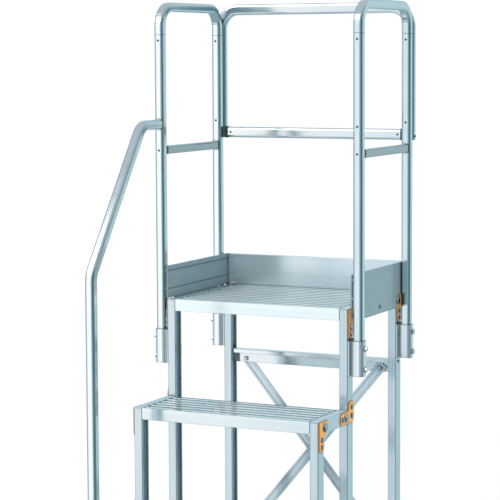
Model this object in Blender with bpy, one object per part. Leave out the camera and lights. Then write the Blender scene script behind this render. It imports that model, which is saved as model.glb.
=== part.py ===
"""Stepped work platform in bolted aluminium: three levels, lift-out guard rail.

Metres, +Z up, +Y towards the back, +X to the right of a person climbing up.
The origin is at floor level, under the middle of the bounding box.
"""
import math

import bmesh
import bpy
from mathutils import Matrix, Vector

# ---- driving dimensions -------------------------------------------------------------
RISE = 0.300                # height from one level to the next
GOING = 0.216               # front leg to front leg, one step to the next
WIDTH = 0.600               # over the outer faces of the legs
DECK_DEPTH = 0.430          # over the deck's front and rear legs
LEVELS = 3

GAP = 0.0003                # between touching pieces
LEG_X = 0.027               # leg channel, across the platform
LEG_Y = 0.0415              # leg channel, front to back
LEG_WALL = 0.0025
LEG_LIP = 0.004
LEG_RADIUS = 0.0022         # its four outer corners
EDGE_RADIUS = 0.0012        # outer corners of the other sections

FRAME_TOP = 0.0025          # thickness of a side frame's top flange
FRAME_HEIGHT = 0.0415
FRAME_WALL = 0.003
GUSSET_RUN = 0.040
GUSSET_DROP = 0.024
WEB_INSET = 0.0013          # web's top edge, inside the flange
SOLE_INSET = 0.004          # sole's inner edge, outside the leg's inner face

FASCIA = 0.036              # height of a deck's or tread's front face
FASCIA_WALL = 0.003
SHEET = 0.0018              # thickness of a deck's top, under the ribs
RIB_PITCH = 0.035           # nominal, because a deck holds a whole number of ribs
RIB_WIDTH = 0.014
RIB_HEIGHT = 0.003
RIB_END = 0.003             # a rib's end, inside the deck's end
RIB_RADIUS = 0.0007
TREAD_BACK_GAP = 0.010      # tread's back edge to the next leg's front face

FOOT_HEIGHT = 0.036
FOOT_FLOOR = 0.006
FOOT_WALL = 0.0028
FOOT_RADIUS = 0.0025

BAR_HEIGHT = 0.045
BAR_DEPTH = 0.026
BAR_LIP = 0.013
BAR_WALL = 0.0025
BAR_INSET = 0.004           # its web, in front of the rear legs' rear wall
BAR_TOP_DROP = 0.208        # deck top to the top of the upper back bar
BRACE_WIDTH = 0.031
BRACE_THICK = 0.004
BRACE_MARGIN = 0.007        # flat strip on each side of its trough
BRACE_TROUGH = 0.0012       # depth of the trough
BRACE_BOLT_X = 0.235        # from the middle plane
BRACE_BOLT_DROP = 0.033     # bar's flange to the brace's bolt
BRACE_SLOPE = 1.2           # its rise over its run
BRACE_OVERRUN = 0.017       # brace's end beyond its bolt

POST = 0.029                # rounded square tube of the side guards and stair rail
POST_RADIUS = 0.0075
TUBE_WALL = 0.002
POST_OFFSET = 0.028         # post's centre line, outside the leg's outer face
RAIL_TOP = 0.907            # top of the side guards, above the deck
SEAM = 0.808                # where a post meets the bent top rail, above the deck
BEND = 0.060                # bend radius on the centre line
SPIGOT = 0.040              # top rail's reduced end inside the post
MID_RAIL = 0.025
MID_RAIL_RADIUS = 0.005
MID_RAIL_Z = 0.455
BACK_TUBE_Z = 0.034         # back guard's tube, in its own plane
BACK_TUBE_Y = 0.025
BACK_TUBE_RADIUS = 0.0075
BACK_TUBE_INSET = 0.002     # its centre line, inside the posts' centre lines
BACK_MID_Z = 0.496
STAIR_RAIL_Z = 0.535        # stair rail's level end, above the deck
STAIR_KNEE_Y = -0.104       # where it turns down, from the deck's front
STAIR_KNEE_Z = 0.114        # where it turns upright, above the deck

BOARD_TOP = 0.100           # toe board, above the deck
BOARD_DROP = 0.040          # and below it
BOARD_THICK = 0.0082
BOARD_STANDOFF = 0.0049     # side board's inner face, outside the legs' outer faces
BOARD_FRONT = 0.013         # its front end, behind the deck's front face
BOARD_NOTCH = 0.070         # the skirt stops this far from each leg's outer end
BOARD_WALL = 0.002
BOARD_RIB = 0.006           # inner rib behind each groove
GROOVE_DEPTH = 0.0018
GROOVE_WIDTH = 0.0032
GROOVE_Z = (0.030, 0.085)
REST_HEIGHT = 0.010         # side board's foot on the side frame
NOTCH_RISE = 0.0006         # its end notches, above the deck

SOCKET_TOP_DROP = 0.095     # level's top to the socket's top
SOCKET_HEIGHT = 0.105
SOCKET_SIZE = 0.037
SOCKET_CLEAR = 0.0005
SOCKET_BASE = 0.0045
SOCKET_BASE_INSET = 0.0005  # its base plate, inside the leg's width
SOCKET_NECK = 0.013
POST_RISE = 0.003           # post's lower end, above the socket's
CLAMP_BOLT_DROPS = (0.023, 0.085)

BRACKET_THICK = 0.0032
SINK = 0.001                # how far one joined solid reaches into the other
OVERCUT = 0.010             # how far a cutting solid runs past what it cuts
ROUND_STEPS = 3             # flats in a rounded corner
TINY = 1e-6                 # two points closer than this are the same
LARGE_HEAD = (0.019, 0.006)     # hexagon heads: across flats, height
SMALL_HEAD = (0.011, 0.004)
CLAMP_HEAD = (0.013, 0.0075)

# ---- derived places -------------------------------------------------------------------
FRONT_REACH = (LEVELS - 1) * GOING + FOOT_WALL + GAP
GUARD_Y = DECK_DEPTH - LEG_Y / 2 + POST / 2 + GAP + BACK_TUBE_Y / 2
BACK_REACH = GUARD_Y + BACK_TUBE_Y / 2
Y0 = (FRONT_REACH - BACK_REACH) / 2     # the deck's front face
DECK_Z = LEVELS * RISE
HALF = WIDTH / 2
SIDES = (("left", -1), ("right", 1))

# finishes: colour, roughness, metallic
EXTRUSION = ((0.80, 0.83, 0.85), 0.30, 1.0)
TUBING = ((0.80, 0.83, 0.85), 0.20, 1.0)
ORANGE_PAINT = ((0.80, 0.30, 0.05), 0.40, 0.0)
RUBBER = ((0.05, 0.05, 0.055), 0.70, 0.0)


# ---- helpers ----------------------------------------------------------------------------
def clear_scene():
    for old in list(bpy.data.objects):
        bpy.data.objects.remove(old, do_unlink=True)


def material(name, colour, roughness, metallic):
    made = bpy.data.materials.new(name)
    made.use_nodes = True
    shader = made.node_tree.nodes["Principled BSDF"]
    shader.inputs["Base Color"].default_value = (*colour, 1.0)
    shader.inputs["Roughness"].default_value = roughness
    shader.inputs["Metallic"].default_value = metallic
    made.diffuse_color = (*colour, 1.0)
    return made


def add_object(name, bm, finish):
    part = bpy.data.objects.new(name, finish_mesh(bm, name))
    bpy.context.scene.collection.objects.link(part)
    colour, roughness, metallic = finish
    part.data.materials.append(material(name, colour, roughness, metallic))
    return part


def finish_mesh(bm, name):
    bmesh.ops.recalc_face_normals(bm, faces=bm.faces)
    mesh = bpy.data.meshes.new(name)
    bm.to_mesh(mesh)
    bm.free()
    return mesh


def axes_map(axis):
    """Turn (u, v, along) into world axes, for an extrusion along the given axis."""
    if axis == "X":
        return lambda u, v, s: Vector((s, u, v))
    if axis == "Y":
        return lambda u, v, s: Vector((u, s, v))
    return lambda u, v, s: Vector((u, v, s))


def section_bar(us, vs, filled, axis, start, end):
    """Extrude the filled cells of a grid: an aluminium section with its chambers open."""
    place = axes_map(axis)
    bm = bmesh.new()
    corner = {}

    def vert(i, j, s):
        if (i, j, s) not in corner:
            corner[i, j, s] = bm.verts.new(place(us[i], vs[j], s))
        return corner[i, j, s]

    cells = {(i, j) for i in range(len(us) - 1) for j in range(len(vs) - 1) if filled(i, j)}
    for i, j in cells:
        for s in (start, end):
            bm.faces.new([vert(i, j, s), vert(i + 1, j, s), vert(i + 1, j + 1, s), vert(i, j + 1, s)])
        edges = (((i - 1, j), (i, j), (i, j + 1)), ((i + 1, j), (i + 1, j), (i + 1, j + 1)),
                 ((i, j - 1), (i, j), (i + 1, j)), ((i, j + 1), (i, j + 1), (i + 1, j + 1)))
        for neighbour, a, b in edges:
            if neighbour not in cells:
                bm.faces.new([vert(*a, start), vert(*b, start), vert(*b, end), vert(*a, end)])
    return bm


def round_corners(bm, axis, corners, radius):
    """Round the edges that an extruded section has at the given (u, v) corners."""
    place = axes_map(axis)
    ends = [place(u, v, 0) for u, v in corners]
    along = place(0, 0, 1)
    chosen = []
    for edge in bm.edges:
        first, second = (vert.co - along * vert.co.dot(along) for vert in edge.verts)
        is_along = (first - second).length < TINY
        if is_along and any((first - end).length < TINY for end in ends):
            chosen.append(edge)
    bmesh.ops.recalc_face_normals(bm, faces=bm.faces)
    bmesh.ops.bevel(bm, geom=chosen, offset=radius, segments=ROUND_STEPS, profile=0.5, affect="EDGES")
    return bm


def plate(outline, axis, start, end, bm=None):
    """Extrude a closed outline of (u, v) points, in a mesh of its own or in bm."""
    place = axes_map(axis)
    bm = bm or bmesh.new()
    low = [bm.verts.new(place(u, v, start)) for u, v in outline]
    high = [bm.verts.new(place(u, v, end)) for u, v in outline]
    bm.faces.new(low)
    bm.faces.new(list(reversed(high)))
    count = len(outline)
    for i in range(count):
        j = (i + 1) % count
        bm.faces.new([low[i], low[j], high[j], high[i]])
    return bm


def box(low, high):
    outline = [(low[0], low[1]), (high[0], low[1]), (high[0], high[1]), (low[0], high[1])]
    return plate(outline, "Z", low[2], high[2])


def rounded_outline(corners, radii, steps=4):
    """Round each corner of an outline with an arc of its own radius."""
    points = []
    count = len(corners)
    for i in range(count):
        here = Vector(corners[i])
        back = (Vector(corners[i - 1]) - here).normalized()
        ahead = (Vector(corners[(i + 1) % count]) - here).normalized()
        half = back.angle(ahead) / 2
        if radii[i] == 0:
            points.append(tuple(here))
            continue
        middle = here + (back + ahead).normalized() * radii[i] / math.sin(half)
        first = here + back * radii[i] / math.tan(half) - middle
        last = here + ahead * radii[i] / math.tan(half) - middle
        sweep = first.angle_signed(last)
        for k in range(steps + 1):
            turn = Matrix.Rotation(-sweep * k / steps, 2)
            points.append(tuple(middle + turn @ first))
    return points


def ring_points(across, along, radius, steps=3):
    """A rounded rectangle as (side, out) offsets from a tube's centre line."""
    points = []
    centres = ((1, 1, 0), (-1, 1, 90), (-1, -1, 180), (1, -1, 270))
    for sx, sy, first in centres:
        for k in range(steps + 1):
            angle = math.radians(first + 90 * k / steps)
            points.append((sx * (across / 2 - radius) + radius * math.cos(angle),
                           sy * (along / 2 - radius) + radius * math.sin(angle)))
    return points


def bent_path(corners, radius, steps=8):
    """Points along a path that lies in one plane, with an arc at each inner corner.

    Returns (point, direction) pairs, with one pair at each end of a straight.
    """
    corners = [Vector(c) for c in corners]
    stations = [(corners[0], (corners[1] - corners[0]).normalized())]
    for before, here, after in zip(corners, corners[1:], corners[2:]):
        come = (here - before).normalized()
        go = (after - here).normalized()
        turn = come.angle(go)
        axis = come.cross(go).normalized()
        start = here - come * radius * math.tan(turn / 2)
        centre = start + axis.cross(come) * radius
        for k in range(steps + 1):
            spin = Matrix.Rotation(turn * k / steps, 3, axis)
            stations.append((centre + spin @ (start - centre), spin @ come))
    stations.append((corners[-1], (corners[-1] - corners[-2]).normalized()))
    return stations


def tube(stations, side, across, along, radius, wall, spigots=(0, 0)):
    """A hollow rounded-square tube along the stations; side is normal to their plane.

    across is its size along side and along is its size in the plane of the bends.
    spigots gives the length of a reduced end beyond the first and last station.
    """
    reduced = wall + GAP
    sections = [(p, d, 0.0) for p, d in stations]
    if spigots[0]:
        point, heading = stations[0]
        sections = [(point - heading * spigots[0], heading, reduced), (point, heading, reduced)] + sections
    if spigots[1]:
        point, heading = stations[-1]
        sections += [(point, heading, reduced), (point + heading * spigots[1], heading, reduced)]
    bore = wall + (reduced if any(spigots) else 0.0)
    inner = ring_points(across - 2 * bore, along - 2 * bore, max(radius - bore, 0.001))
    side = Vector(side)
    bm = bmesh.new()
    outer_rings = []
    inner_rings = []
    bored = set()
    for point, heading, shrink in sections:
        out = heading.cross(side)
        outer = ring_points(across - 2 * shrink, along - 2 * shrink, radius - shrink)
        outer_rings.append([bm.verts.new(point + side * a + out * b) for a, b in outer])
        key = tuple(round(c, 6) for c in point)
        if key in bored:
            inner_rings.append(inner_rings[-1])
            continue
        bored.add(key)
        inner_rings.append([bm.verts.new(point + side * a + out * b) for a, b in inner])
    count = len(inner)
    for rings in (outer_rings, inner_rings):
        for low, high in zip(rings, rings[1:]):
            if low is high:
                continue
            for i in range(count):
                j = (i + 1) % count
                bm.faces.new([low[i], low[j], high[j], high[i]])
    for end in (0, -1):
        for i in range(count):
            j = (i + 1) % count
            bm.faces.new([outer_rings[end][i], outer_rings[end][j],
                          inner_rings[end][j], inner_rings[end][i]])
    return bm


def join_solid(target, operation, bm, name):
    """Add or cut a second solid with an exact Boolean; the tool object stays hidden."""
    tool = bpy.data.objects.new(name, finish_mesh(bm, name))
    bpy.context.scene.collection.objects.link(tool)
    tool.parent = target
    tool.hide_render = True
    tool.display_type = "WIRE"
    modifier = target.modifiers.new(operation.lower(), "BOOLEAN")
    modifier.operation = operation
    modifier.solver = "EXACT"
    modifier.object = tool


def hex_heads(places, direction, head):
    """Hexagon bolt heads on a face that looks along +X or -X, sunk a little into it."""
    flats, height = head
    radius = flats / 2 / math.cos(math.pi / 6)
    angles = [math.radians(60 * k) for k in range(6)]
    bm = bmesh.new()
    for x, y, z in places:
        ends = (x - direction * SINK, x + direction * height)
        corners = [(y + radius * math.cos(a), z + radius * math.sin(a)) for a in angles]
        plate(corners, "X", min(ends), max(ends), bm)
    return bm


# ---- legs and feet ------------------------------------------------------------------------
def leg(name, sign, front, top):
    """A lipped channel that opens inwards; front is its front face, top is its level's top."""
    outer = sign * HALF
    us = [0, LEG_WALL, LEG_X - LEG_WALL, LEG_X]
    vs = [0, LEG_WALL, LEG_WALL + LEG_LIP, LEG_Y - LEG_WALL - LEG_LIP, LEG_Y - LEG_WALL, LEG_Y]

    def filled(i, j):
        return i == 0 or j in (0, 4) or (i == 2 and j != 2)

    xs = [outer - sign * u for u in us]
    ys = [front + v for v in vs]
    bm = section_bar(xs, ys, filled, "Z", FOOT_FLOOR + GAP, top - FRAME_TOP - GAP)
    corners = [(x, y) for x in (xs[0], xs[-1]) for y in (ys[0], ys[-1])]
    return add_object(name, round_corners(bm, "Z", corners, LEG_RADIUS), EXTRUSION)


def foot(name, sign, front):
    """A moulded cap round the bottom of a leg."""
    margin = GAP + FOOT_WALL
    outer = sign * (HALF + margin)
    inner = sign * (HALF - LEG_X - margin)
    low = (min(outer, inner), front - margin, 0)
    high = (max(outer, inner), front + LEG_Y + margin, FOOT_HEIGHT)
    corners = [(x, y) for x in (low[0], high[0]) for y in (low[1], high[1])]
    part = add_object(name, round_corners(box(low, high), "Z", corners, FOOT_RADIUS), RUBBER)
    pocket_low = (low[0] + FOOT_WALL, low[1] + FOOT_WALL, FOOT_FLOOR)
    pocket_high = (high[0] - FOOT_WALL, high[1] - FOOT_WALL, FOOT_HEIGHT + OVERCUT)
    join_solid(part, "DIFFERENCE", box(pocket_low, pocket_high), name + "_pocket")
    return part


# ---- decks and side frames ----------------------------------------------------------------
def ribbed_deck(name, front, back, top):
    """A tray with a ribbed top, a front face and a rear face, between the side frames."""
    us = [front, front + FASCIA_WALL, back - FASCIA_WALL, back]
    vs = [top - FASCIA, top - RIB_HEIGHT - SHEET, top - RIB_HEIGHT, top]

    def filled(i, j):
        return i != 1 or j == 1

    reach = HALF - LEG_X - GAP
    bm = section_bar(us, vs, filled, "X", -reach, reach)
    corners = [(y, z) for y in (front, back) for z in (vs[0], top)]
    part = add_object(name, round_corners(bm, "X", corners, EDGE_RADIUS), EXTRUSION)
    count = round((back - front) / RIB_PITCH)
    pitch = (back - front) / count
    root = top - RIB_HEIGHT - SINK
    ribs = bmesh.new()
    for k in range(count):
        near = front + (k + 0.5) * pitch - RIB_WIDTH / 2
        far = near + RIB_WIDTH
        outline = [(near, root), (far, root), (far, top), (near, top)]
        radii = [0, 0, RIB_RADIUS, RIB_RADIUS]
        plate(rounded_outline(outline, radii), "X", RIB_END - reach, reach - RIB_END, ribs)
    join_solid(part, "UNION", ribs, name + "_ribs")
    return part


def side_frame(name, sign, front, back, top, covers_back_leg):
    """Web between two legs under a top flange that also covers the leg tops."""
    web_front = front + LEG_Y + GAP
    web_back = back - (LEG_Y + GAP if covers_back_leg else GAP)
    bottom = top - FRAME_HEIGHT
    web = [(web_front, top - WEB_INSET), (web_front, bottom - GUSSET_DROP),
           (web_front + GUSSET_RUN, bottom), (web_back, bottom), (web_back, top - WEB_INSET)]
    outer = sign * HALF
    inner = sign * (HALF - FRAME_WALL)
    bm = plate(web, "X", min(outer, inner), max(outer, inner))
    part = add_object(name, bm, EXTRUSION)
    flange_edge = sign * (HALF - LEG_X)
    flange_back = back if covers_back_leg else back - GAP
    under = top - FRAME_TOP
    outline = [(outer, under), (flange_edge, under), (flange_edge, top), (outer, top)]
    radii = [0, 0, EDGE_RADIUS, EDGE_RADIUS]
    flange = plate(rounded_outline(outline, radii), "Y", front, flange_back)
    join_solid(part, "UNION", flange, name + "_flange")
    sole_edge = sign * (HALF - LEG_X + SOLE_INSET)
    sole = box((min(outer, sole_edge), web_front + GUSSET_RUN, bottom),
               (max(outer, sole_edge), web_back, bottom + FRAME_WALL))
    join_solid(part, "UNION", sole, name + "_sole")
    return part


# ---- back bars and brace ------------------------------------------------------------------
def back_bar(name, bolt_z, up):
    """Lipped channel, its ends inside the rear legs' channels; up is -1 to turn it over."""
    web = Y0 + DECK_DEPTH - LEG_WALL - BAR_INSET - BAR_WALL
    front = web - (BAR_DEPTH - BAR_WALL)
    us = [front, front + BAR_WALL, web, web + BAR_WALL]
    rises = (BRACE_BOLT_DROP - BAR_HEIGHT, BRACE_BOLT_DROP - BAR_LIP, BRACE_BOLT_DROP - BAR_WALL,
             BRACE_BOLT_DROP)
    vs = [bolt_z + up * rise for rise in rises]

    def filled(i, j):
        return i == 2 or j == 2 or (i == 0 and j == 1)

    reach = HALF - LEG_WALL - GAP
    bm = section_bar(us, vs, filled, "X", -reach, reach)
    corners = [(us[0], vs[-1]), (us[-1], vs[-1]), (us[-1], vs[0])]
    add_object(name, round_corners(bm, "X", corners, EDGE_RADIUS), EXTRUSION)
    return web


def brace(name, direction, face, outwards, top_bolt, low_bolt):
    """A flat diagonal with a shallow trough in its front, between two opposite bolts."""
    rise = top_bolt - low_bolt
    run = 2 * BRACE_BOLT_X
    length = math.hypot(run, rise) + 2 * BRACE_OVERRUN
    slope = math.atan2(rise, run)
    half = BRACE_WIDTH / 2
    us = [-half, BRACE_MARGIN - half, half - BRACE_MARGIN, half]
    vs = [-BRACE_THICK / 2, BRACE_TROUGH - BRACE_THICK / 2, BRACE_THICK / 2]

    def filled(i, j):
        return j == 1 or i != 1

    bm = section_bar(us, vs, filled, "Z", -length / 2, length / 2)
    part = add_object(name, bm, EXTRUSION)
    middle = face + outwards * (BRACE_THICK / 2 + GAP)
    part.location = (0, middle, (top_bolt + low_bolt) / 2)
    part.rotation_euler = (0, direction * (math.pi / 2 - slope), 0)
    return part


# ---- guard rail -----------------------------------------------------------------------------
def post(name, x, y, low, high):
    stations = [(Vector((x, y, low)), Vector((0, 0, 1))), (Vector((x, y, high)), Vector((0, 0, 1)))]
    bm = tube(stations, (1, 0, 0), POST, POST, POST_RADIUS, TUBE_WALL)
    return add_object(name, bm, TUBING)


def side_top_rail(name, x, front_y, rear_y):
    """Bent tube over a pair of posts, its reduced ends inside them."""
    seam = DECK_Z + SEAM + GAP
    crown = DECK_Z + RAIL_TOP - POST / 2
    corners = [(x, front_y, seam), (x, front_y, crown), (x, rear_y, crown), (x, rear_y, seam)]
    bm = tube(bent_path(corners, BEND), (1, 0, 0), POST, POST, POST_RADIUS, TUBE_WALL,
              spigots=(SPIGOT, SPIGOT))
    return add_object(name, bm, TUBING)


def side_mid_rail(name, x, front_y, rear_y):
    reach = POST / 2 + GAP
    heading = Vector((0, 1, 0))
    z = DECK_Z + MID_RAIL_Z
    stations = [(Vector((x, front_y + reach, z)), heading), (Vector((x, rear_y - reach, z)), heading)]
    bm = tube(stations, (1, 0, 0), MID_RAIL, MID_RAIL, MID_RAIL_RADIUS, TUBE_WALL)
    return add_object(name, bm, TUBING)


def back_top_rail(name, half_span):
    """Wide inverted U behind the rear posts, its legs ending at the mid rail."""
    low = DECK_Z + BACK_MID_Z - BACK_TUBE_Z / 2
    crown = DECK_Z + RAIL_TOP - BACK_TUBE_Z / 2
    y = Y0 + GUARD_Y
    corners = [(-half_span, y, low), (-half_span, y, crown), (half_span, y, crown), (half_span, y, low)]
    bm = tube(bent_path(corners, BEND), (0, 1, 0), BACK_TUBE_Y, BACK_TUBE_Z, BACK_TUBE_RADIUS, TUBE_WALL)
    return add_object(name, bm, TUBING)


def back_mid_rail(name, half_span):
    reach = half_span - BACK_TUBE_Z / 2 - GAP
    heading = Vector((1, 0, 0))
    z = DECK_Z + BACK_MID_Z
    y = Y0 + GUARD_Y
    stations = [(Vector((-reach, y, z)), heading), (Vector((reach, y, z)), heading)]
    bm = tube(stations, (0, 1, 0), BACK_TUBE_Y, BACK_TUBE_Z, BACK_TUBE_RADIUS, TUBE_WALL)
    return add_object(name, bm, TUBING)


def stair_rail(name, x, post_y, foot_y, foot_z):
    """From the front post forwards, down beside the steps, then upright into its socket."""
    start = post_y - POST / 2 - GAP
    level = DECK_Z + STAIR_RAIL_Z
    corners = [(x, start, level), (x, Y0 + STAIR_KNEE_Y, level),
               (x, foot_y, DECK_Z + STAIR_KNEE_Z), (x, foot_y, foot_z)]
    bm = tube(bent_path(corners, BEND), (1, 0, 0), POST, POST, POST_RADIUS, TUBE_WALL)
    return add_object(name, bm, TUBING)


# ---- toe boards -------------------------------------------------------------------------------
def board_section(axis, inner, outwards, start, end, grooved):
    """Three-chamber section; a grooved one has two fine grooves in its inner face."""
    low = DECK_Z - BOARD_DROP
    high = DECK_Z + BOARD_TOP
    depths = (0, GROOVE_DEPTH, BOARD_WALL + GROOVE_DEPTH, BOARD_THICK - BOARD_WALL, BOARD_THICK)
    us = [inner + outwards * depth for depth in depths]
    half_rib = BOARD_RIB / 2
    half_groove = GROOVE_WIDTH / 2
    vs = [low, low + BOARD_WALL]
    for z in GROOVE_Z:
        centre = DECK_Z + z
        vs += [centre - half_rib, centre - half_groove, centre + half_groove, centre + half_rib]
    vs += [high - BOARD_WALL, high]
    chambers = (1, 5, 9)
    grooves = (3, 7)

    def filled(i, j):
        if i == 0 and j in grooves:
            return not grooved
        return i in (0, 1, 3) or j not in chambers

    corners = [(u, v) for u in (us[0], us[-1]) for v in (low, high)]
    return round_corners(section_bar(us, vs, filled, axis, start, end), axis, corners, EDGE_RADIUS)


def back_toe_board(name, rear):
    reach = HALF + BOARD_STANDOFF + BOARD_THICK
    bm = board_section("X", rear + GAP, 1, -reach, reach, False)
    return add_object(name, bm, EXTRUSION)


def side_toe_board(name, sign, rear):
    """Its skirt reaches down between the leg brackets, and a foot rests on the side frame."""
    inner = sign * (HALF + BOARD_STANDOFF)
    bm = board_section("Y", inner, sign, Y0 + BOARD_FRONT, rear, True)
    part = add_object(name, bm, EXTRUSION)
    near = sign * (HALF + GAP)
    far = inner + sign * SINK
    drop = DECK_Z - BOARD_DROP
    rest = box((min(near, far), Y0 + BOARD_NOTCH, drop),
               (max(near, far), rear - BOARD_NOTCH, drop + REST_HEIGHT))
    join_solid(part, "UNION", rest, name + "_rest")
    faces = (near - sign * OVERCUT, inner + sign * (BOARD_THICK + OVERCUT))
    ends = (("front", Y0 - OVERCUT, Y0 + BOARD_NOTCH), ("rear", rear - BOARD_NOTCH, rear + OVERCUT))
    for end, front, back in ends:
        notch = box((min(faces), front, drop - OVERCUT), (max(faces), back, DECK_Z + NOTCH_RISE))
        join_solid(part, "DIFFERENCE", notch, f"{name}_{end}_notch")
    return part


# ---- sockets and brackets -----------------------------------------------------------------------
def socket(name, sign, post_y, level_top):
    """Sleeve with a base plate for the leg's outer face, and two clamp bolts outside."""
    high = level_top - SOCKET_TOP_DROP
    low = high - SOCKET_HEIGHT
    centre = sign * (HALF + POST_OFFSET)
    hollow = POST + 2 * SOCKET_CLEAR
    stations = [(Vector((centre, post_y, low)), Vector((0, 0, 1))),
                (Vector((centre, post_y, high)), Vector((0, 0, 1)))]
    wall = (SOCKET_SIZE - hollow) / 2
    bm = tube(stations, (1, 0, 0), SOCKET_SIZE, SOCKET_SIZE, POST_RADIUS + wall, wall)
    part = add_object(name, bm, EXTRUSION)
    near = sign * (HALF + GAP)
    half_base = LEG_Y / 2 - SOCKET_BASE_INSET
    far = sign * (HALF + SOCKET_BASE)
    base = box((min(near, far), post_y - half_base, low), (max(near, far), post_y + half_base, high))
    join_solid(part, "UNION", base, name + "_base")
    reach = centre - sign * (SOCKET_SIZE / 2 - SINK)
    root = far - sign * SINK
    half_neck = SOCKET_NECK / 2
    neck = box((min(root, reach), post_y - half_neck, low), (max(root, reach), post_y + half_neck, high))
    join_solid(part, "UNION", neck, name + "_neck")
    face = centre + sign * SOCKET_SIZE / 2
    places = [(face, post_y, high - drop) for drop in CLAMP_BOLT_DROPS]
    join_solid(part, "UNION", hex_heads(places, sign, CLAMP_HEAD), name + "_bolts")
    return part


def bracket(name, sign, outline, radii, bolts):
    """Painted steel plate on the outer face, with its bolt heads."""
    near = sign * (HALF + GAP)
    far = sign * (HALF + GAP + BRACKET_THICK)
    bm = plate(rounded_outline(outline, radii), "X", min(near, far), max(near, far))
    part = add_object(name, bm, ORANGE_PAINT)
    for index, (y, z, head) in enumerate(bolts):
        join_solid(part, "UNION", hex_heads([(far, y, z)], sign, head), f"{name}_bolt_{index}")
    return part


def corner_bracket(name, sign, leg_front, top, towards):
    """P-shaped plate at a leg's top; towards is +1 when its head reaches back."""
    inset = 0.002
    outer_edge = leg_front + (inset if towards > 0 else LEG_Y - inset)
    strip = 0.034
    reach = 0.063
    crest, shoulder, armpit, toe = 0.001, 0.028, 0.046, 0.090     # drops below the level's top

    def at(along, drop):
        return (outer_edge + towards * along, top - drop)

    outline = [at(0, crest), at(reach, crest), at(reach, shoulder), at(strip, armpit), at(strip, toe),
               at(0, toe)]
    radii = [0.006, 0.016, 0.012, 0.006, 0.014, 0.014]
    bolts = [(*at(0.036, 0.021), LARGE_HEAD), (*at(strip / 2, 0.054), SMALL_HEAD),
             (*at(strip / 2, 0.075), SMALL_HEAD)]
    return bracket(name, sign, outline, radii, bolts)


def splice_bracket(name, sign, leg_front, top):
    """Plate from a step's side frame across the next leg, with an upward tab on the leg."""
    front, tab_front, rear = -0.060, 0.003, 0.040      # from the leg's front face
    crest, bottom, tab_top = 0.003, 0.040, -0.024      # drops below the level's top

    def at(along, drop):
        return (leg_front + along, top - drop)

    outline = [at(front, crest), at(tab_front, crest), at(tab_front, tab_top), at(rear, tab_top),
               at(rear, bottom), at(front, bottom)]
    radii = [0.014, 0.006, 0.013, 0.013, 0.013, 0.013]
    bolts = [(*at(-0.020, 0.021), LARGE_HEAD), (*at(-0.045, 0.023), SMALL_HEAD),
             (*at(0.022, -0.006), SMALL_HEAD), (*at(0.022, 0.020), SMALL_HEAD)]
    return bracket(name, sign, outline, radii, bolts)


# ---- assembly -------------------------------------------------------------------------------------
def build_base():
    fronts = [Y0 - (LEVELS - 1 - k) * GOING for k in range(LEVELS)]
    tops = [(k + 1) * RISE for k in range(LEVELS)]
    labels = ["lower_step", "upper_step", "deck"]
    rear = Y0 + DECK_DEPTH
    for side, sign in SIDES:
        for label, front, top in zip(labels, fronts, tops):
            leg(f"leg_{label}_{side}", sign, front, top)
            foot(f"foot_{label}_{side}", sign, front)
            corner_bracket(f"bracket_{label}_front_{side}", sign, front, top, 1)
        leg(f"leg_deck_rear_{side}", sign, rear - LEG_Y, DECK_Z)
        foot(f"foot_deck_rear_{side}", sign, rear - LEG_Y)
        corner_bracket(f"bracket_deck_rear_{side}", sign, rear - LEG_Y, DECK_Z, -1)
        side_frame(f"side_frame_deck_{side}", sign, Y0, rear, DECK_Z, True)
        for k in range(LEVELS - 1):
            label = labels[k]
            side_frame(f"side_frame_{label}_{side}", sign, fronts[k], fronts[k + 1], tops[k], False)
            splice_bracket(f"splice_{label}_{side}", sign, fronts[k + 1], tops[k])
    ribbed_deck("deck_platform", Y0, rear, DECK_Z)
    for k in range(LEVELS - 1):
        ribbed_deck(f"tread_{labels[k]}", fronts[k], fronts[k + 1] - TREAD_BACK_GAP, tops[k])
    return fronts, rear


def build_back():
    top_bolt = DECK_Z - BAR_TOP_DROP - BRACE_BOLT_DROP
    low_bolt = top_bolt - BRACE_SLOPE * 2 * BRACE_BOLT_X
    back_bar("back_bar_lower", low_bolt, -1)
    web = back_bar("back_bar_upper", top_bolt, 1)
    brace("brace_front", 1, web, -1, top_bolt, low_bolt)
    brace("brace_rear", -1, web + BAR_WALL, 1, top_bolt, low_bolt)


def build_toe_boards(rear):
    for side, sign in SIDES:
        side_toe_board(f"toe_board_{side}", sign, rear)
    back_toe_board("toe_board_back", rear)


def build_sockets(front_y, rear_y, foot_y):
    for side, sign in SIDES:
        socket(f"socket_front_{side}", sign, front_y, DECK_Z)
        socket(f"socket_rear_{side}", sign, rear_y, DECK_Z)
    socket("socket_stair_rail", -1, foot_y, RISE)


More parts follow.
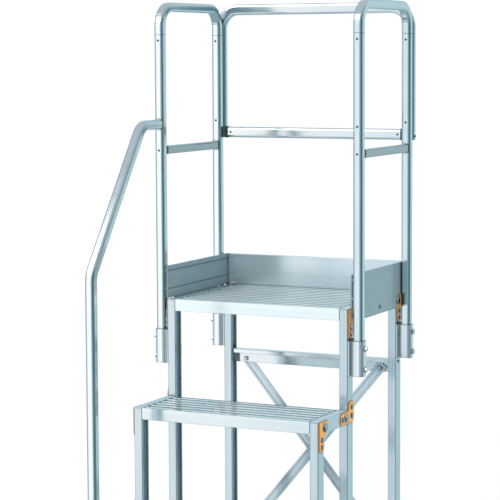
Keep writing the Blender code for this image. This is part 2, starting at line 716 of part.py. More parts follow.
def build_guard(front_y, rear_y, foot_y):
    """The guard lifts out as one piece, so an empty on its line of travel carries it."""
    end_drop = SOCKET_TOP_DROP + SOCKET_HEIGHT - POST_RISE
    parts = []
    for side, sign in SIDES:
        x = sign * (HALF + POST_OFFSET)
        parts.append(post(f"post_front_{side}", x, front_y, DECK_Z - end_drop, DECK_Z + SEAM))
        parts.append(post(f"post_rear_{side}", x, rear_y, DECK_Z - end_drop, DECK_Z + SEAM))
        parts.append(side_top_rail(f"top_rail_{side}", x, front_y, rear_y))
        parts.append(side_mid_rail(f"mid_rail_{side}", x, front_y, rear_y))
    half_span = HALF + POST_OFFSET - BACK_TUBE_INSET
    parts.append(back_top_rail("back_top_rail", half_span))
    parts.append(back_mid_rail("back_mid_rail", half_span))
    parts.append(stair_rail("stair_rail", -(HALF + POST_OFFSET), front_y, foot_y, RISE - end_drop))
    lift = bpy.data.objects.new("guard_rail_lift", None)
    bpy.context.scene.collection.objects.link(lift)
    lift.location = (0, (front_y + rear_y) / 2, DECK_Z)
    for part in parts:
        part.parent = lift
        part.matrix_parent_inverse = Matrix.Translation(-lift.location)


def build_platform():
    fronts, rear = build_base()
    front_y = fronts[-1] + LEG_Y / 2
    rear_y = rear - LEG_Y / 2
    foot_y = fronts[0] + LEG_Y / 2
    build_back()
    build_toe_boards(rear)
    build_sockets(front_y, rear_y, foot_y)
    build_guard(front_y, rear_y, foot_y)


clear_scene()
build_platform()
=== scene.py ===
"""Looks for the stepped work platform: materials, fasteners and small fittings, camera and light.

Everything is in metres in the frame's own axes: +Z up, +Y towards the back guard, +X to the
right of a person climbing up.
"""
import math

import bmesh
import bpy
from mathutils import Matrix, Vector


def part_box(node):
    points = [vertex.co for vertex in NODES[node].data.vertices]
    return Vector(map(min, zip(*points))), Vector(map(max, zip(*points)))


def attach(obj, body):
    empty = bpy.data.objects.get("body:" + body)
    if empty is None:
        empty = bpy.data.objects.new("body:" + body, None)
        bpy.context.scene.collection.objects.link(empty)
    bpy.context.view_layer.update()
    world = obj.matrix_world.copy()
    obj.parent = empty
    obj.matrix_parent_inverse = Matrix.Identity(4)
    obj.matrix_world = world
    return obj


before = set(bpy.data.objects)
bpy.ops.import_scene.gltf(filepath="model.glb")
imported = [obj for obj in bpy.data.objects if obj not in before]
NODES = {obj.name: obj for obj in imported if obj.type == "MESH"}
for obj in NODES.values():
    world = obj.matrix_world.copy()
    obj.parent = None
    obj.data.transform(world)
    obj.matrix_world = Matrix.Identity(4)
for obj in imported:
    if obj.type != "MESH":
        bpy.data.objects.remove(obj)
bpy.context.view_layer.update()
PLATFORM = "platform"
GUARD = "guard_rail"
SIDES = (("left", -1), ("right", 1))

# ---- sizes ------------------------------------------------------------------------------
DECK_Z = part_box("deck_platform")[1].z
CLEAR = 0.0002              # between a fitting and the face that it sits on
BRACKET_DROP = 0.001        # a corner bracket's crest, below its level's top
LARGE_BOLT = (0.0200, 0.0066)       # hexagon heads: across flats, height
SMALL_BOLT = (0.0118, 0.0046)
HEAD_CHAMFER = 0.0010
HEAD_GAP = 0.0001           # between a head and its washer
BOLT_WASHER = 0.0010        # thickness of the washer under a hexagon head
BAR_SCREW = (0.0045, 0.0022)        # round heads: radius, height
BOARD_SCREW = (0.0080, 0.0032)
POST_SCREW = (0.0034, 0.0014)
GUARD_BOLT = (0.0055, 0.0035)
ROUND_SIDES = 28            # sides of a washer
SCREW_SIDES = 20
CORNER_BOLTS = ((0.036, 0.021, LARGE_BOLT), (0.017, 0.054, SMALL_BOLT), (0.017, 0.075, SMALL_BOLT))
SPLICE_BOLTS = ((0.040, 0.045, LARGE_BOLT), (0.015, 0.047, SMALL_BOLT),
                (0.082, 0.018, SMALL_BOLT), (0.082, 0.044, SMALL_BOLT))
BRACKET_HEAD_HEIGHT = 0.006         # the brackets' own heads, which the plated ones cover
CLAMP_BOLT_DROPS = (0.023, 0.085)
CLAMP_HEAD_HEIGHT = 0.0075          # the sockets' own heads
CLAMP_WASHER = 0.0092
CLAMP_WASHER_PROFILE = ((0, 0), (0, 0.0010), (0.0005, 0.0014))      # inset, height
# the dark cap is painted shadow: a dark piece where the gap above a socket's base plate lies in shade
CAP_HEIGHT = 0.0045                 # dark cap on a socket's base plate
CAP_SECTION = (0.0042, 0.040)
CAP_CORNER = 0.0012
CAP_CHAMFER = 0.0008
CAP_OUT = 0.0024                    # from the base plate's inner face to the cap's middle
BAR_BOLT_DROP = 0.006               # a back bar's end bolt, below the bar's top
BOARD_SCREW_DROP = 0.018            # below the deck
POST_SCREW_Z = (0.790, 0.535)       # above the deck
GUARD_BOLT_Z = 0.491                # above the deck
MID_RAIL_COLLAR = 0.009
MID_RAIL_CORNER = 0.005
COLLAR_WALL = 0.0006
BACK_SCREW_INSET = 0.019
STAIR_COLLAR = 0.003
STAIR_COLLAR_WALL = 0.0005
STAIR_RAIL_CORNER = 0.0075
BRACE_BOLT_X = 0.235
BRACE_BOLT_DROP = 0.033
BAR_WEB_DEPTH = 0.0028              # from the front of a bar's web back to the rear brace

# the camera: place, heading from +Y towards -X, tilt below level and roll, in degrees
CAMERA_PLACE = (2.481, -5.184, 1.6455)
CAMERA_HEADING = 25.755
CAMERA_TILT = 5.053
CAMERA_ROLL = -0.28
CAMERA_LENS = 138.6
CAMERA_SHIFT_Y = -0.05
SENSOR_WIDTH = 36.0

FLOOR_RADIUS = 3.0
FLOOR_FADE = (1.2, 2.9)             # from the middle: where the floor starts and ends fading
FLOOR_DROP = 0.0005                 # below the feet
LIGHT_PLACE = (-2.6, -3.4, 4.2)
LIGHT_AIM = (0, 0, 0.9)
LIGHT_SIZE = 2.5
LIGHT_WATTS = 60

# painted shade: darker tones of metal and paint along edges and in corners and gaps, where shade falls
EDGE_SHADE_TONE = (0.16, 0.28, 0.32)
CREVICE_SHADE_TONE = (0.07, 0.13, 0.14)
PLATED_EDGE_SHADE_TONE = (0.09, 0.12, 0.12)
PAINT_LIGHT = (0.98, 0.50, 0.07)
PAINT_DARK = (0.86, 0.36, 0.03)
PAINT_EDGE_SHADE_TONE = (0.20, 0.035, 0.010)
PAINT_CREVICE_SHADE_TONE = (0.16, 0.03, 0.01)
GRAIN_SCALES = (4, 900)             # noise scale along and across the drawing direction
WAVE_SCALES = (0.5, 90)
GRAIN_HEIGHT = 0.000011
EDGE_SHADE_REACH = 0.0045                 # how far the darker rims run in from an edge
PLATED_EDGE_SHADE_REACH = 0.0013
PAINT_EDGE_SHADE_REACH = 0.0055
PAINT_CREVICE_SHADE_REACH = 0.003


# ---- node helpers -----------------------------------------------------------------------
class Shader:
    """A material's node tree, with short calls to add and link nodes."""

    def __init__(self, name):
        self.material = bpy.data.materials.new(name)
        self.material.use_nodes = True
        self.tree = self.material.node_tree
        self.surface = self.tree.nodes["Principled BSDF"]
        self.coords = self.add("ShaderNodeTexCoord").outputs["Object"]

    def add(self, kind, **settings):
        node = self.tree.nodes.new(kind)
        for key, value in settings.items():
            setattr(node, key, value)
        return node

    def link(self, source, target):
        self.tree.links.new(source, target)

    def noise(self, scale, detail=3.0, stretch=(1, 1, 1)):
        mapping = self.add("ShaderNodeMapping")
        mapping.inputs["Scale"].default_value = stretch
        self.link(self.coords, mapping.inputs["Vector"])
        texture = self.add("ShaderNodeTexNoise")
        texture.inputs["Scale"].default_value = scale
        texture.inputs["Detail"].default_value = detail
        self.link(mapping.outputs["Vector"], texture.inputs["Vector"])
        return texture.outputs["Fac"]

    def span(self, value, low, high, start=0.3, end=0.7):
        """Map a 0 to 1 value onto the range low to high."""
        ranged = self.add("ShaderNodeMapRange")
        for name, number in (("From Min", start), ("From Max", end), ("To Min", low), ("To Max", high)):
            ranged.inputs[name].default_value = number
        self.link(value, ranged.inputs["Value"])
        return ranged.outputs["Result"]

    def mix(self, factor, first, second):
        """Mix two colours by a factor socket."""
        node = self.add("ShaderNodeMix", data_type="RGBA")
        self.link(factor, node.inputs["Factor"])
        for socket, colour in ((node.inputs[6], first), (node.inputs[7], second)):
            if isinstance(colour, tuple):
                socket.default_value = (*colour, 1.0)
            else:
                self.link(colour, socket)
        return node.outputs[2]

    def crevice_shade_mask(self, reach):
        """Mask for painted shade: 1 in the corners and gaps between surfaces closer than reach, 0 in
        the open.
        """
        node = self.add("ShaderNodeAmbientOcclusion", samples=6)
        node.inputs["Distance"].default_value = reach
        return self.span(node.outputs["AO"], 1.0, 0.0, 0.30, 0.88)

    def rim(self, radius):
        """Mask for painted edge shade: 1 along the edges of a solid, out to about radius, and 0 on its
        open faces.
        """
        rounded = self.add("ShaderNodeBevel", samples=6)
        rounded.inputs["Radius"].default_value = radius
        geometry = self.add("ShaderNodeNewGeometry")
        agreement = self.add("ShaderNodeVectorMath", operation="DOT_PRODUCT")
        self.link(rounded.outputs["Normal"], agreement.inputs[0])
        self.link(geometry.outputs["Normal"], agreement.inputs[1])
        return self.span(agreement.outputs["Value"], 1.0, 0.0, 0.86, 0.995)

    def bump(self, height, distance, strength=1.0, normal=None):
        node = self.add("ShaderNodeBump")
        node.inputs["Distance"].default_value = distance
        node.inputs["Strength"].default_value = strength
        self.link(height, node.inputs["Height"])
        if normal is not None:
            self.link(normal, node.inputs["Normal"])
        return node.outputs["Normal"]

    def set(self, **values):
        for name, value in values.items():
            socket = self.surface.inputs[name.replace("_", " ")]
            if isinstance(value, bpy.types.NodeSocket):
                self.link(value, socket)
            else:
                socket.default_value = (*value, 1.0) if isinstance(value, tuple) else value


# ---- materials --------------------------------------------------------------------------
def drawn_aluminium(name, colour, roughness, along, waviness=0.00008, edge=0.60, metallic=1.0,
                    reach=0.009):
    """Drawn aluminium: fine lines and slow waves along one axis, dark at its edges and in its corners
    from painted shade.

    A lower metallic value gives the satin, half diffuse look of an anodised face.
    """
    shader = Shader(name)
    fine, broad = (tuple(scales[0] if axis == along else scales[1] for axis in "XYZ")
                   for scales in (GRAIN_SCALES, WAVE_SCALES))
    lines = shader.noise(1.0, 2.0, fine)
    waves = shader.noise(1.0, 1.0, broad)
    cloud = shader.noise(7.0, 4.0)
    darker = tuple(c * 0.90 for c in colour)
    tint = shader.mix(shader.span(waves, 0.0, 1.0), darker, colour)
    bright = tuple(min(1.0, c * 1.03) for c in colour)
    tint = shader.mix(shader.span(cloud, 0.0, 0.6), tint, bright)
    # painted edge shade: the edges darkened towards a dark teal, as strongly as edge
    rim = shader.span(shader.rim(EDGE_SHADE_REACH), 0.0, edge, 0.0, 1.0)
    tint = shader.mix(rim, tint, EDGE_SHADE_TONE)
    # painted shade in the corners and gaps between parts, out to reach
    tint = shader.mix(shader.crevice_shade_mask(reach), tint, CREVICE_SHADE_TONE)
    gloss = shader.add("ShaderNodeMath", operation="ADD")
    shader.link(shader.span(lines, -0.03, 0.04), gloss.inputs[0])
    shader.link(shader.span(cloud, roughness - 0.02, roughness + 0.03), gloss.inputs[1])
    normal = shader.bump(waves, waviness)
    normal = shader.bump(lines, GRAIN_HEIGHT, normal=normal)
    shader.set(Base_Color=tint, Metallic=metallic, Roughness=gloss.outputs[0], Normal=normal)
    return shader.material


def orange_paint():
    """Thick orange paint with a fine orange-peel surface, with painted red-brown shade along its edges
    and painted shade in its corners and gaps.
    """
    shader = Shader("orange_paint")
    cloud = shader.noise(60.0, 3.0)
    orange = shader.mix(shader.span(cloud, 0.0, 1.0), PAINT_DARK, PAINT_LIGHT)
    # painted edge shade: the plate's edges darkened to red-brown
    colour = shader.mix(shader.rim(PAINT_EDGE_SHADE_REACH), orange, PAINT_EDGE_SHADE_TONE)
    # painted shade in the corners and gaps between parts
    colour = shader.mix(shader.crevice_shade_mask(PAINT_CREVICE_SHADE_REACH), colour, PAINT_CREVICE_SHADE_TONE)
    peel = shader.noise(700.0, 1.0)
    shader.set(Base_Color=colour, Roughness=shader.span(cloud, 0.30, 0.42),
               Normal=shader.bump(peel, 0.00003), Coat_Weight=0.3, Coat_Roughness=0.15)
    return shader.material


def plated_steel(name, colour, roughness):
    """Plated or blackened steel, faintly mottled, with painted dark shade along its edges."""
    shader = Shader(name)
    cloud = shader.noise(220.0, 3.0)
    darker = tuple(c * 0.8 for c in colour)
    tint = shader.mix(shader.span(cloud, 0.0, 1.0), darker, colour)
    # painted edge shade along the edges of heads and washers
    tint = shader.mix(shader.rim(PLATED_EDGE_SHADE_REACH), tint, PLATED_EDGE_SHADE_TONE)
    shader.set(Base_Color=tint, Metallic=1.0,
               Roughness=shader.span(cloud, roughness, roughness + 0.12),
               Normal=shader.bump(cloud, 0.00002))
    return shader.material


def moulded(name, colour, roughness):
    """Moulded rubber or plastic with a fine matt grain and faint scuffs."""
    shader = Shader(name)
    grain = shader.noise(1500.0, 2.0)
    scuffs = shader.noise(35.0, 5.0)
    paler = tuple(c + 0.03 for c in colour)
    shader.set(Base_Color=shader.mix(shader.span(scuffs, 0.0, 0.7), colour, paler),
               Roughness=shader.span(scuffs, roughness, roughness + 0.1),
               Normal=shader.bump(grain, 0.00004))
    return shader.material


LEG = drawn_aluminium("leg_extrusion", (0.66, 0.76, 0.80), 0.13, "Z", metallic=0.78)
TREAD = drawn_aluminium("tread_extrusion", (0.80, 0.88, 0.91), 0.12, "X", edge=0.2, metallic=0.75)
DECK = drawn_aluminium("deck_extrusion", (0.84, 0.95, 0.99), 0.14, "X", edge=0.2, metallic=0.34)
FRAME = drawn_aluminium("frame_extrusion", (0.72, 0.80, 0.83), 0.13, "Y", metallic=0.80)
# painted shade: the side toe boards get a darker copy of the toe boards' aluminium, for their shaded
# sides
SHADED_BOARD_SIDE = drawn_aluminium("board_extrusion_y_shaded", (0.30, 0.41, 0.45), 0.22, "Y", metallic=0.35)
BOARD_BACK = drawn_aluminium("board_extrusion_x", (0.84, 0.91, 0.95), 0.16, "X", metallic=0.72)
BAR = drawn_aluminium("bar_extrusion", (0.95, 0.975, 0.99), 0.12, "X", metallic=0.85)
BRACE = drawn_aluminium("brace_strip", (0.68, 0.76, 0.81), 0.14, "Z", edge=0.8, metallic=0.85)
SOCKET = drawn_aluminium("socket_extrusion", (0.93, 0.955, 0.965), 0.14, "Z", edge=0.8,
                         metallic=0.85, reach=0.0025)
TUBE = {axis: drawn_aluminium("tubing_along_" + axis.lower(), (0.95, 0.965, 0.97), 0.13, axis, 0.00002)
        for axis in "XYZ"}
# painted shade: the side mid rails get a darker copy of the rail tubing, for their shaded sides
MID_RAIL = drawn_aluminium("mid_rail_tube_shaded", (0.46, 0.54, 0.56), 0.20, "Y", 0.00002, metallic=0.70)
PLATING = plated_steel("plated_steel", (0.66, 0.68, 0.69), 0.20)
DARK_STEEL = plated_steel("dark_steel", (0.10, 0.13, 0.14), 0.35)
# dark castings for the rail collars; the same dark finish makes the painted-shadow caps on the sockets
DARK_CASTING_AND_SHADOW = moulded("dark_casting_and_shadow", (0.035, 0.055, 0.06), 0.45)
ORANGE = orange_paint()
RUBBER = moulded("foot_rubber", (0.035, 0.036, 0.04), 0.60)

# the first entry that a node's name starts with gives its finish
FINISHES = (("bracket_", ORANGE), ("splice_", ORANGE), ("foot_", RUBBER), ("leg_", LEG),
            ("side_frame_", FRAME), ("deck_", DECK), ("tread_", TREAD), ("back_bar_", BAR),
            ("brace_", BRACE), ("socket_", SOCKET), ("toe_board_back", BOARD_BACK),
            ("toe_board_", SHADED_BOARD_SIDE), ("post_", TUBE["Z"]), ("top_rail_", TUBE["Y"]),
            ("mid_rail_", MID_RAIL), ("back_", TUBE["X"]), ("stair_rail", TUBE["Z"]))


def material_for(node):
    """The finish of a CAD node, found from how its name starts."""
    return next(finish for start, finish in FINISHES if node.startswith(start))


def finish_nodes():
    """Give every CAD node its material; the dull posts beside the brackets don't mirror them."""
    for name, node in NODES.items():
        for slot in node.material_slots:
            slot.material = material_for(name)
        node.visible_glossy = not name.startswith(("bracket_", "splice_"))


# ---- mesh helpers -----------------------------------------------------------------------
def piece(name, bm, finish, body, smooth=math.radians(35)):
    """Make an object from bm, shade it by angle, and set its slot and the body that it rides on."""
    bmesh.ops.recalc_face_normals(bm, faces=bm.faces)
    for face in bm.faces:
        face.smooth = True
    for edge in bm.edges:
        edge.smooth = not edge.is_manifold or edge.calc_face_angle(0.0) < smooth
    mesh = bpy.data.meshes.new(name)
    bm.to_mesh(mesh)
    bm.free()
    made = bpy.data.objects.new(name, mesh)
    bpy.context.scene.collection.objects.link(made)
    made.data.materials.append(finish)
    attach(made, body)
    return made


def placing(place, direction):
    """The matrix that stands a fitting made along +Z on a face at place, looking along direction."""
    turn = Vector(direction).to_track_quat("Z", "Y")
    return Matrix.Translation(Vector(place)) @ turn.to_matrix().to_4x4()


def stack(bm, rings, matrix):
    """Join rings of the same count into a closed solid, with a flat cap at each end."""
    loops = [[bm.verts.new(matrix @ Vector(point)) for point in ring] for ring in rings]
    count = len(loops[0])
    for low, high in zip(loops, loops[1:]):
        for i in range(count):
            j = (i + 1) % count
            bm.faces.new([low[i], low[j], high[j], high[i]])
    bm.faces.new(list(reversed(loops[0])))
    bm.faces.new(loops[-1])


def circle(radius, z, count):
    """The points of a circle, or of a regular polygon, at height z."""
    angles = [2 * math.pi * k / count for k in range(count)]
    return [(radius * math.cos(a), radius * math.sin(a), z) for a in angles]


def add_bolt(bm, place, direction, size):
    """A hexagon head with a chamfered crown on a washer."""
    flats, height = size
    corner = flats / math.sqrt(3)
    matrix = placing(place, direction)
    rings = [circle(corner * wider, BOLT_WASHER * share, ROUND_SIDES)
             for wider, share in ((1.02, 0.0), (1.10, 0.3), (1.10, 0.8), (1.04, 1.0))]
    stack(bm, rings, matrix)
    stack(bm, [circle(corner, BOLT_WASHER + HEAD_GAP, 6), circle(corner, height - HEAD_CHAMFER, 6),
               circle(corner * 0.86, height, 6)], matrix)


def add_screw(bm, place, direction, size):
    """A domed screw head with a round recess in its crown."""
    radius, height = size
    dome = [circle(radius * math.cos(a), height * math.sin(a), SCREW_SIDES)
            for a in (math.radians(t) for t in (0, 20, 40, 58, 68))]
    recess = [circle(radius * 0.30, height * 0.45, SCREW_SIDES)]
    stack(bm, dome + recess, placing(place, direction))


def rounded_ring(across, along, radius, steps=4):
    """The (x, y) points of a rounded rectangle about the origin."""
    points = []
    for sx, sy, first in ((1, 1, 0), (-1, 1, 90), (-1, -1, 180), (1, -1, 270)):
        for k in range(steps + 1):
            angle = math.radians(first + 90 * k / steps)
            points.append((sx * (across / 2 - radius) + radius * math.cos(angle),
                           sy * (along / 2 - radius) + radius * math.sin(angle)))
    return points


def add_sleeve(bm, place, direction, section, radius, length, thick):
    """A short collar round a tube of the given section."""
    matrix = placing(place, direction)
    outer = rounded_ring(section[0] + 2 * thick, section[1] + 2 * thick, radius + thick)
    inner = rounded_ring(section[0] + 2 * CLEAR, section[1] + 2 * CLEAR, radius + CLEAR)
    loops = []
    for ring, z in ((outer, 0.0), (outer, length), (inner, length), (inner, 0.0)):
        loops.append([bm.verts.new(matrix @ Vector((x, y, z))) for x, y in ring])
    count = len(outer)
    for k, low in enumerate(loops):
        high = loops[(k + 1) % len(loops)]
        for i in range(count):
            j = (i + 1) % count
            bm.faces.new([low[i], low[j], high[j], high[i]])


def add_clip(bm, x, low, high, length, thick):
    """A clip from x to x + length round the front, top and bottom of a tube along X."""
    back = high.y - thick
    outline = [(low.y - CLEAR - thick, low.z - CLEAR - thick), (back, low.z - CLEAR - thick),
               (back, low.z - CLEAR), (low.y - CLEAR, low.z - CLEAR), (low.y - CLEAR, high.z + CLEAR),
               (back, high.z + CLEAR), (back, high.z + CLEAR + thick),
               (low.y - CLEAR - thick, high.z + CLEAR + thick)]
    stack(bm, [[(end, y, z) for y, z in outline] for end in (x, x + length)], Matrix())


# ---- fasteners on the platform ----------------------------------------------------------
def bracket_bolts():
    """Plated heads over every bracket's bolts, set out from the bracket's own outline."""
    for name in sorted(NODES):
        if not name.startswith(("bracket_", "splice_")):
            continue
        low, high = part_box(name)
        sign = 1 if name.endswith("right") else -1
        face = sign * (abs(low.x if sign < 0 else high.x) - BRACKET_HEAD_HEIGHT + CLEAR)
        bm = bmesh.new()
        if name.startswith("bracket_"):
            from_back = "_rear_" in name
            for along, drop, size in CORNER_BOLTS:
                y = high.y - along if from_back else low.y + along
                z = high.z + BRACKET_DROP - drop
                add_bolt(bm, (face, y, z), (sign, 0, 0), size)
        else:
            for along, drop, size in SPLICE_BOLTS:
                add_bolt(bm, (face, low.y + along, high.z - drop), (sign, 0, 0), size)
        bolts = piece("bolts_" + name, bm, PLATING, PLATFORM)
        bolts.visible_glossy = False


def socket_fittings():
    """Washers under each socket's clamp bolts, and a dark cap on its base plate that stands in for the
    shadow in the gap above it.
    """
    for name in sorted(NODES):
        if not name.startswith("socket_"):
            continue
        low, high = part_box(name)
        sign = 1 if name.endswith("right") else -1
        middle = (low.y + high.y) / 2
        face = (high.x if sign > 0 else low.x) - sign * (CLAMP_HEAD_HEIGHT - CLEAR)
        bm = bmesh.new()
        for drop in CLAMP_BOLT_DROPS:
            rings = [circle(CLAMP_WASHER - inset, height, ROUND_SIDES)
                     for inset, height in CLAMP_WASHER_PROFILE]
            stack(bm, rings, placing((face, middle, high.z - drop), (sign, 0, 0)))
        piece("washers_" + name, bm, PLATING, PLATFORM)
        # painted shadow: a dark cap where the gap above the base plate lies in shade
        root = low.x if sign > 0 else high.x
        bm = bmesh.new()
        rings = []
        for inset, height in ((0, 0), (0, CAP_HEIGHT - CAP_CHAMFER), (CAP_CHAMFER, CAP_HEIGHT)):
            outline = rounded_ring(CAP_SECTION[0] - 2 * inset, CAP_SECTION[1] - 2 * inset, CAP_CORNER)
            rings.append([(x, y, height) for x, y in outline])
        stack(bm, rings, Matrix.Translation((root + sign * CAP_OUT, middle, high.z + CLEAR)))
        piece("cap_" + name, bm, DARK_CASTING_AND_SHADOW, PLATFORM)


def bar_bolts():
    """Round heads on the rear legs' outer faces, where the back bars are fastened."""
    for side, sign in SIDES:
        low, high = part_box("leg_deck_rear_" + side)
        face = high.x if sign > 0 else low.x
        bm = bmesh.new()
        for bar in ("back_bar_upper", "back_bar_lower"):
            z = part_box(bar)[1].z - BAR_BOLT_DROP
            add_screw(bm, (face + sign * CLEAR, (low.y + high.y) / 2, z), (sign, 0, 0), BAR_SCREW)
        piece(f"bolts_back_bars_{side}", bm, DARK_STEEL, PLATFORM)


def brace_bolts():
    """A bolt at each end of each brace: its head in front, and its nut behind."""
    front_low, front_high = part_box("brace_front")
    rear_low, rear_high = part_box("brace_rear")
    middle = (front_low.z + front_high.z) / 2
    heights = (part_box("back_bar_upper")[1].z - BRACE_BOLT_DROP,
               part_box("back_bar_lower")[0].z + BRACE_BOLT_DROP)
    bm = bmesh.new()
    for _, sign in SIDES:
        x = sign * BRACE_BOLT_X
        for z in heights:
            if (sign > 0) == (z > middle):
                head, nut = front_low.y, rear_low.y
            else:
                head, nut = rear_low.y - BAR_WEB_DEPTH, rear_high.y
            add_bolt(bm, (x, head - CLEAR, z), (0, -1, 0), SMALL_BOLT)
            add_bolt(bm, (x, nut + CLEAR, z), (0, 1, 0), SMALL_BOLT)
    piece("bolts_braces", bm, PLATING, PLATFORM)


def toe_board_screws():
    """A round head that holds each side board to its side frame."""
    for side, sign in SIDES:
        low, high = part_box("toe_board_" + side)
        face = high.x if sign > 0 else low.x
        bm = bmesh.new()
        place = (face + sign * CLEAR, (low.y + high.y) / 2, DECK_Z - BOARD_SCREW_DROP)
        add_screw(bm, place, (sign, 0, 0), BOARD_SCREW)
        piece(f"screws_toe_board_{side}", bm, PLATING, PLATFORM)


# ---- fittings on the guard --------------------------------------------------------------
def post_screws():
    """Dark countersunk screws in the posts' front faces, and one at each front mid rail."""
    mid_low, mid_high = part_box("mid_rail_left")
    mid = (mid_low.z + mid_high.z) / 2
    bm = bmesh.new()
    for side, _ in SIDES:
        for row in ("front", "rear"):
            low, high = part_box(f"post_{row}_{side}")
            heights = [DECK_Z + z for z in POST_SCREW_Z]
            if (side, row) == ("left", "front"):
                heights.pop()
            if row == "front":
                heights.append(mid)
            for z in heights:
                place = ((low.x + high.x) / 2, low.y - CLEAR, z)
                add_screw(bm, place, (0, -1, 0), POST_SCREW)
    piece("screws_posts", bm, DARK_STEEL, GUARD)


def mid_rail_collars():
    """Short dark end fittings where a mid rail meets its posts."""
    for side, _ in SIDES:
        low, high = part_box("mid_rail_" + side)
        centre = (low + high) / 2
        size = high.x - low.x
        bm = bmesh.new()
        for y, heading in ((low.y, 1), (high.y, -1)):
            add_sleeve(bm, (centre.x, y, centre.z), (0, heading, 0), (size, size), MID_RAIL_CORNER,
                       MID_RAIL_COLLAR, COLLAR_WALL)
        piece(f"collars_mid_rail_{side}", bm, DARK_CASTING_AND_SHADOW, GUARD)
    low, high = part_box("back_mid_rail")
    middle = (low.z + high.z) / 2
    bm = bmesh.new()
    screws = bmesh.new()
    ends = ((low.x, low.x + BACK_SCREW_INSET), (high.x - MID_RAIL_COLLAR, high.x - BACK_SCREW_INSET))
    for start, screw_x in ends:
        add_clip(bm, start, low, high, MID_RAIL_COLLAR, COLLAR_WALL)
        add_screw(screws, (screw_x, low.y - CLEAR, middle), (0, -1, 0), POST_SCREW)
    piece("collars_back_mid_rail", bm, DARK_CASTING_AND_SHADOW, GUARD)
    piece("screws_back_mid_rail", screws, DARK_STEEL, GUARD)


def back_guard_bolts():
    """Bolts through the back guard's legs, seen on its outer sides."""
    low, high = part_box("back_top_rail")
    bm = bmesh.new()
    for x, sign in ((low.x, -1), (high.x, 1)):
        place = (x + sign * CLEAR, (low.y + high.y) / 2, DECK_Z + GUARD_BOLT_Z)
        add_screw(bm, place, (sign, 0, 0), GUARD_BOLT)
    piece("bolts_back_guard", bm, PLATING, GUARD)


def stair_rail_collar():
    """Dark end fitting where the stair rail butts on the front post."""
    low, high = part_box("stair_rail")
    centre_x = (low.x + high.x) / 2
    size = high.x - low.x
    bm = bmesh.new()
    add_sleeve(bm, (centre_x, high.y, high.z - size / 2), (0, -1, 0), (size, size),
               STAIR_RAIL_CORNER, STAIR_COLLAR, STAIR_COLLAR_WALL)
    piece("collar_stair_rail", bm, DARK_CASTING_AND_SHADOW, GUARD)


# ---- stage ------------------------------------------------------------------------------
def floor():
    """A pale round floor that fades out at its rim."""
    bm = bmesh.new()
    bmesh.ops.create_circle(bm, cap_ends=True, segments=96, radius=FLOOR_RADIUS)
    mesh = bpy.data.meshes.new("floor")
    bm.to_mesh(mesh)
    bm.free()
    made = bpy.data.objects.new("floor", mesh)
    bpy.context.scene.collection.objects.link(made)
    made.location.z = -FLOOR_DROP
    made.visible_glossy = False
    shader = Shader("floor")
    shader.set(Base_Color=(0.975, 0.977, 0.98), Roughness=0.8)
    length = shader.add("ShaderNodeVectorMath", operation="LENGTH")
    shader.link(shader.coords, length.inputs[0])
    shader.set(Alpha=shader.span(length.outputs["Value"], 1.0, 0.0, *FLOOR_FADE))
    made.data.materials.append(shader.material)


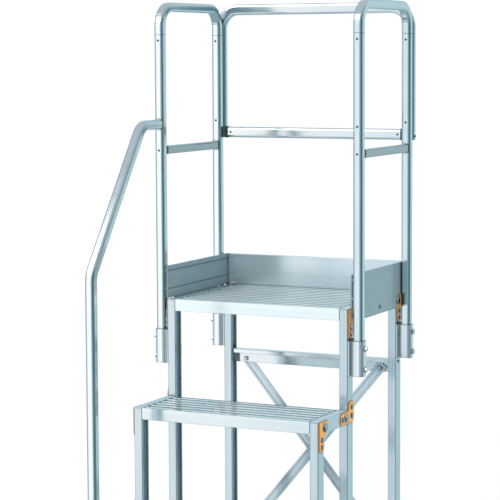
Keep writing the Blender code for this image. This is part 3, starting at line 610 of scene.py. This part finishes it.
def studio():
    """A soft studio: white to the eye, with paler and greyer sides for the metal to reflect.

    Each stop is a bearing in degrees from the front (-Y) towards the right (+X), and a colour.
    Below and high above, the sides blend into a dark and a pale tone.
    """
    stops = ((-180, (0.36, 0.54, 0.60)), (-154, (0.50, 0.70, 0.78)), (-135, (0.30, 0.46, 0.54)),
             (-115, (0.10, 0.22, 0.26)), (-70, (0.26, 0.41, 0.50)), (-45, (0.62, 0.72, 0.78)),
             (-34, (1.04, 1.06, 1.06)), (-28, (1.06, 1.07, 1.06)), (-25, (0.92, 0.97, 1.00)),
             (-22, (0.72, 0.84, 0.91)), (-14, (0.46, 0.62, 0.70)), (4, (0.24, 0.39, 0.45)),
             (30, (0.08, 0.19, 0.23)), (70, (0.04, 0.12, 0.15)), (120, (0.10, 0.23, 0.27)),
             (142, (0.32, 0.50, 0.55)), (154, (0.48, 0.66, 0.70)), (168, (0.42, 0.60, 0.65)),
             (180, (0.36, 0.54, 0.60)))
    world = bpy.data.worlds.new("studio")
    bpy.context.scene.world = world
    world.use_nodes = True
    tree = world.node_tree
    nodes, links = tree.nodes, tree.links
    nodes.clear()
    coords = nodes.new("ShaderNodeTexCoord")
    split = nodes.new("ShaderNodeSeparateXYZ")
    links.new(coords.outputs["Generated"], split.inputs[0])
    front = nodes.new("ShaderNodeMath")
    front.operation = "MULTIPLY"
    front.inputs[1].default_value = -1.0
    links.new(split.outputs["Y"], front.inputs[0])
    bearing = nodes.new("ShaderNodeMath")
    bearing.operation = "ARCTAN2"
    links.new(split.outputs["X"], bearing.inputs[0])
    links.new(front.outputs[0], bearing.inputs[1])
    share = nodes.new("ShaderNodeMapRange")
    share.inputs["From Min"].default_value = -math.pi
    share.inputs["From Max"].default_value = math.pi
    links.new(bearing.outputs[0], share.inputs["Value"])
    ramp = nodes.new("ShaderNodeValToRGB")
    elements = ramp.color_ramp.elements
    while len(elements) > 1:
        elements.remove(elements[-1])
    for index, (degrees, colour) in enumerate(stops):
        position = (degrees + 180) / 360
        element = elements[0] if index == 0 else elements.new(position)
        element.position = position
        element.color = (*colour, 1.0)
    links.new(share.outputs["Result"], ramp.inputs["Fac"])
    colour = ramp.outputs["Color"]
    for end, start, tone in ((-0.70, -0.22, (0.24, 0.36, 0.41)), (0.75, 0.30, (0.42, 0.50, 0.56))):
        amount = nodes.new("ShaderNodeMapRange")
        amount.inputs["From Min"].default_value = start
        amount.inputs["From Max"].default_value = end
        links.new(split.outputs["Z"], amount.inputs["Value"])
        blend = nodes.new("ShaderNodeMix")
        blend.data_type = "RGBA"
        links.new(amount.outputs["Result"], blend.inputs["Factor"])
        links.new(colour, blend.inputs[6])
        blend.inputs[7].default_value = (*tone, 1.0)
        colour = blend.outputs[2]
    sides = nodes.new("ShaderNodeBackground")
    links.new(colour, sides.inputs["Color"])
    plain = nodes.new("ShaderNodeBackground")
    plain.inputs["Color"].default_value = (1.0, 1.0, 1.0, 1.0)
    plain.inputs["Strength"].default_value = 1.02
    path = nodes.new("ShaderNodeLightPath")
    choose = nodes.new("ShaderNodeMixShader")
    links.new(path.outputs["Is Glossy Ray"], choose.inputs["Fac"])
    links.new(plain.outputs[0], choose.inputs[1])
    links.new(sides.outputs[0], choose.inputs[2])
    output = nodes.new("ShaderNodeOutputWorld")
    links.new(choose.outputs[0], output.inputs["Surface"])


def soft_light():
    """One large soft light above and in front, on the left."""
    data = bpy.data.lights.new("key", "AREA")
    data.shape = "SQUARE"
    data.size = LIGHT_SIZE
    data.energy = LIGHT_WATTS
    light = bpy.data.objects.new("key", data)
    bpy.context.scene.collection.objects.link(light)
    light.location = LIGHT_PLACE
    light.rotation_euler = (Vector(LIGHT_AIM) - light.location).to_track_quat("-Z", "Y").to_euler()


def camera():
    """A long lens in front on the right, a little above the deck."""
    data = bpy.data.cameras.new("camera")
    data.sensor_width = SENSOR_WIDTH
    data.lens = CAMERA_LENS
    data.shift_y = CAMERA_SHIFT_Y
    made = bpy.data.objects.new("camera", data)
    bpy.context.scene.collection.objects.link(made)
    turn = (Matrix.Rotation(math.radians(CAMERA_HEADING), 4, "Z")
            @ Matrix.Rotation(math.radians(90 - CAMERA_TILT), 4, "X")
            @ Matrix.Rotation(math.radians(CAMERA_ROLL), 4, "Z"))
    made.matrix_world = Matrix.Translation(CAMERA_PLACE) @ turn
    bpy.context.scene.camera = made


# ---- build ------------------------------------------------------------------------------
finish_nodes()
bracket_bolts()
socket_fittings()
bar_bolts()
brace_bolts()
toe_board_screws()
post_screws()
mid_rail_collars()
back_guard_bolts()
stair_rail_collar()
floor()
studio()
soft_light()
camera()
bpy.context.scene.view_settings.view_transform = "Standard"
